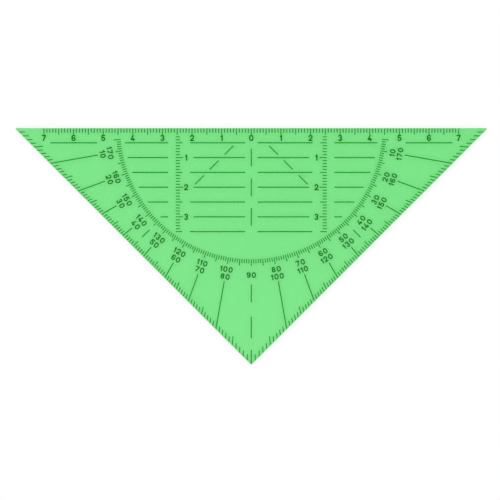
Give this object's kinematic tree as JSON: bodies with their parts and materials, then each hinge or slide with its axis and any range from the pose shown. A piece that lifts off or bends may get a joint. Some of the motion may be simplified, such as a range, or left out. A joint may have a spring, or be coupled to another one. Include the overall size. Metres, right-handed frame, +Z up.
{
  "type": "drafting triangle",
  "caption": "Flat clear green drafting triangle with equal legs, a ruler on its longest side and a protractor arc, for drawing and measuring lines and angles.",
  "frame": {"origin": "middle of the underside's bounding box, on the surface that the plate lies on", "axes": "+X along the longest side, to the right as the numerals are read; +Y from the right-angled tip towards the longest side; +Z up, out of the face that is read"},
  "size_m": [0.1592, 0.0798, 0.0018],
  "materials": {
    "plate": "clear, polished",
    "ink": "dark green ink, matt"
  },
  "bodies": {
    "root": {"centre_line": "ink", "left_45_degree_guide": "ink", "left_edge_degree_marks": "ink", "left_edge_five_degree_marks": "ink", "left_height_scale_marks": "ink", "left_height_scale_numerals": "ink", "left_inner_degree_numerals": "ink", "left_inner_parallel_lines": "ink", "left_outer_degree_numerals": "ink", "left_outer_parallel_lines": "ink", "left_ten_degree_rays": "ink", "plate": "plate", "protractor_degree_marks": "ink", "protractor_five_degree_marks": "ink", "right_45_degree_guide": "ink", "right_angle_numeral": "ink", "right_edge_degree_marks": "ink", "right_edge_five_degree_marks": "ink", "right_height_scale_marks": "ink", "right_height_scale_numerals": "ink", "right_inner_degree_numerals": "ink", "right_inner_parallel_lines": "ink", "right_outer_degree_numerals": "ink", "right_outer_parallel_lines": "ink", "right_ten_degree_rays": "ink", "ruler_centimetre_marks": "ink", "ruler_half_centimetre_marks": "ink", "ruler_millimetre_marks": "ink", "ruler_numerals": "ink"}
  },
  "joints": []
}
